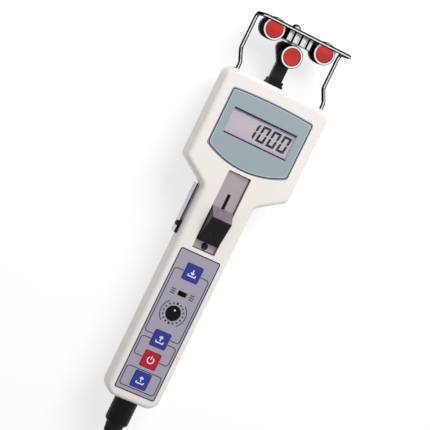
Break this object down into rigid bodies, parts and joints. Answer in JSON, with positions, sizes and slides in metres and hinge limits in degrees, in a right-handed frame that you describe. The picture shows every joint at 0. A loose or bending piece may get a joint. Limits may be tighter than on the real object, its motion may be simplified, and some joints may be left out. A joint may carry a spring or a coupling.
{
  "type": "hand-held tension meter",
  "caption": "Hand-held meter for running thread or wire: display head on a slim handle, grooved rollers in a wire bow opened by a thumb slide, and a data lead.",
  "frame": {"origin": "mouth of the threaded insert, on the rear face that the meter rests on", "axes": "+Y along the handle towards the roller head, +Z out of the front face, +X to the right as the display is read"},
  "size_m": [0.124, 0.4174, 0.049],
  "materials": {
    "cream_abs": "satin moulded",
    "teal_panel": "printed polycarbonate",
    "clear_window": "clear",
    "display_glass": "liquid crystal behind glass",
    "grey_plate": "satin anodised",
    "lavender_panel": "printed film",
    "blue_key": "moulded",
    "red_key": "moulded",
    "black_plastic": "moulded",
    "black_rubber": "moulded",
    "chrome_wire": "polished",
    "bright_steel": "ground",
    "dark_steel": "blackened",
    "silver_rim": "turned, bright",
    "red_cap": "moulded",
    "bronze": "sintered",
    "brass": "plated",
    "board": "epoxy glass",
    "cell_can": "wrapped",
    "load_alloy": "milled"
  },
  "bodies": {
    "housing": {"front_shell": "cream_abs", "rear_shell": "cream_abs", "display_panel": "teal_panel", "display_window": "clear_window", "lcd_module": "display_glass", "slide_plate": "grey_plate", "slide_plate_screw": "dark_steel", "keypad_panel": "lavender_panel", "main_board": "board", "key_switches": "black_plastic", "selector_body": "black_plastic", "mode_switch_body": "black_plastic", "load_cell": "load_alloy", "load_cell_screws": "bright_steel", "batteries": "cell_can", "battery_contacts": "bright_steel", "output_socket": "black_plastic", "bail_bushes": "bronze", "post_bush": "bronze", "arm_gland": "black_rubber", "side_clip": "chrome_wire", "side_clip_screw": "dark_steel", "tripod_insert": "brass", "housing_screws": "bright_steel", "return_springs": "bright_steel", "plug": "black_plastic", "strain_relief": "black_rubber", "cord": "black_rubber", "cord_coil": "black_rubber", "cord_tie": "black_plastic", "far_plug": "black_plastic"},
    "carriage": {"thumb_slide": "black_plastic", "carriage_yoke": "bright_steel", "bail": "chrome_wire", "guide_post": "bright_steel", "cap_nut": "dark_steel", "roller_bridge": "dark_steel", "guide_block": "bright_steel", "outer_axles": "bright_steel"},
    "left_roller": {"left_roller": "silver_rim", "left_roller_cap": "red_cap", "left_bearing": "bright_steel"},
    "right_roller": {"right_roller": "silver_rim", "right_roller_cap": "red_cap", "right_bearing": "bright_steel"},
    "middle_roller": {"middle_roller": "silver_rim", "middle_roller_cap": "red_cap", "middle_bearing": "bright_steel"},
    "measuring_arm": {"measuring_arm": "dark_steel", "middle_axle": "bright_steel"},
    "store_key": {"store_key": "blue_key"},
    "recall_key": {"recall_key": "blue_key"},
    "power_key": {"power_key": "red_key"},
    "data_key": {"data_key": "blue_key"},
    "selector_knob": {"selector_knob": "black_plastic"},
    "mode_lever": {"mode_lever": "black_plastic"},
    "battery_door": {"battery_door": "cream_abs"}
  },
  "joints": [
    {"name": "slide_lift", "type": "slide", "parent": "housing", "child": "carriage", "axis": [0, 1, 0], "range_m": [0, 0.011], "stiffness_N_per_m": 300, "springref_m": -0.01, "deforming": ["return_springs"]},
    {"name": "left_roller_spin", "type": "hinge", "parent": "carriage", "child": "left_roller", "pos_m": [-0.019, 0.1164, 0.0255], "axis": [0, 0, 1], "continuous": true},
    {"name": "right_roller_spin", "type": "hinge", "parent": "carriage", "child": "right_roller", "pos_m": [0.019, 0.1164, 0.0255], "axis": [0, 0, 1], "continuous": true},
    {"name": "middle_roller_spin", "type": "hinge", "parent": "measuring_arm", "child": "middle_roller", "pos_m": [0, 0.1051, 0.0255], "axis": [0, 0, 1], "continuous": true},
    {"name": "arm_deflect", "type": "slide", "parent": "housing", "child": "measuring_arm", "axis": [0, -1, 0], "range_m": [0, 0.0003], "stiffness_N_per_m": 20000, "springref_m": -0.0001},
    {"name": "store_key_press", "type": "slide", "parent": "housing", "child": "store_key", "axis": [0, 0, -1], "range_m": [0, 0.0005], "stiffness_N_per_m": 800, "springref_m": -0.0005},
    {"name": "recall_key_press", "type": "slide", "parent": "housing", "child": "recall_key", "axis": [0, 0, -1], "range_m": [0, 0.0005], "stiffness_N_per_m": 800, "springref_m": -0.0005},
    {"name": "power_key_press", "type": "slide", "parent": "housing", "child": "power_key", "axis": [0, 0, -1], "range_m": [0, 0.0005], "stiffness_N_per_m": 800, "springref_m": -0.0005},
    {"name": "data_key_press", "type": "slide", "parent": "housing", "child": "data_key", "axis": [0, 0, -1], "range_m": [0, 0.0005], "stiffness_N_per_m": 800, "springref_m": -0.0005},
    {"name": "selector_turn", "type": "hinge", "parent": "housing", "child": "selector_knob", "pos_m": [0, -0.0778, 0.039], "axis": [0, 0, 1], "continuous": true},
    {"name": "mode_switch_slide", "type": "slide", "parent": "housing", "child": "mode_lever", "axis": [1, 0, 0], "range_m": [-0.0015, 0.0015]},
    {"name": "battery_door_slide", "type": "slide", "parent": "housing", "child": "battery_door", "axis": [0, -1, 0], "range_m": [0, 0.11]}
  ]
}
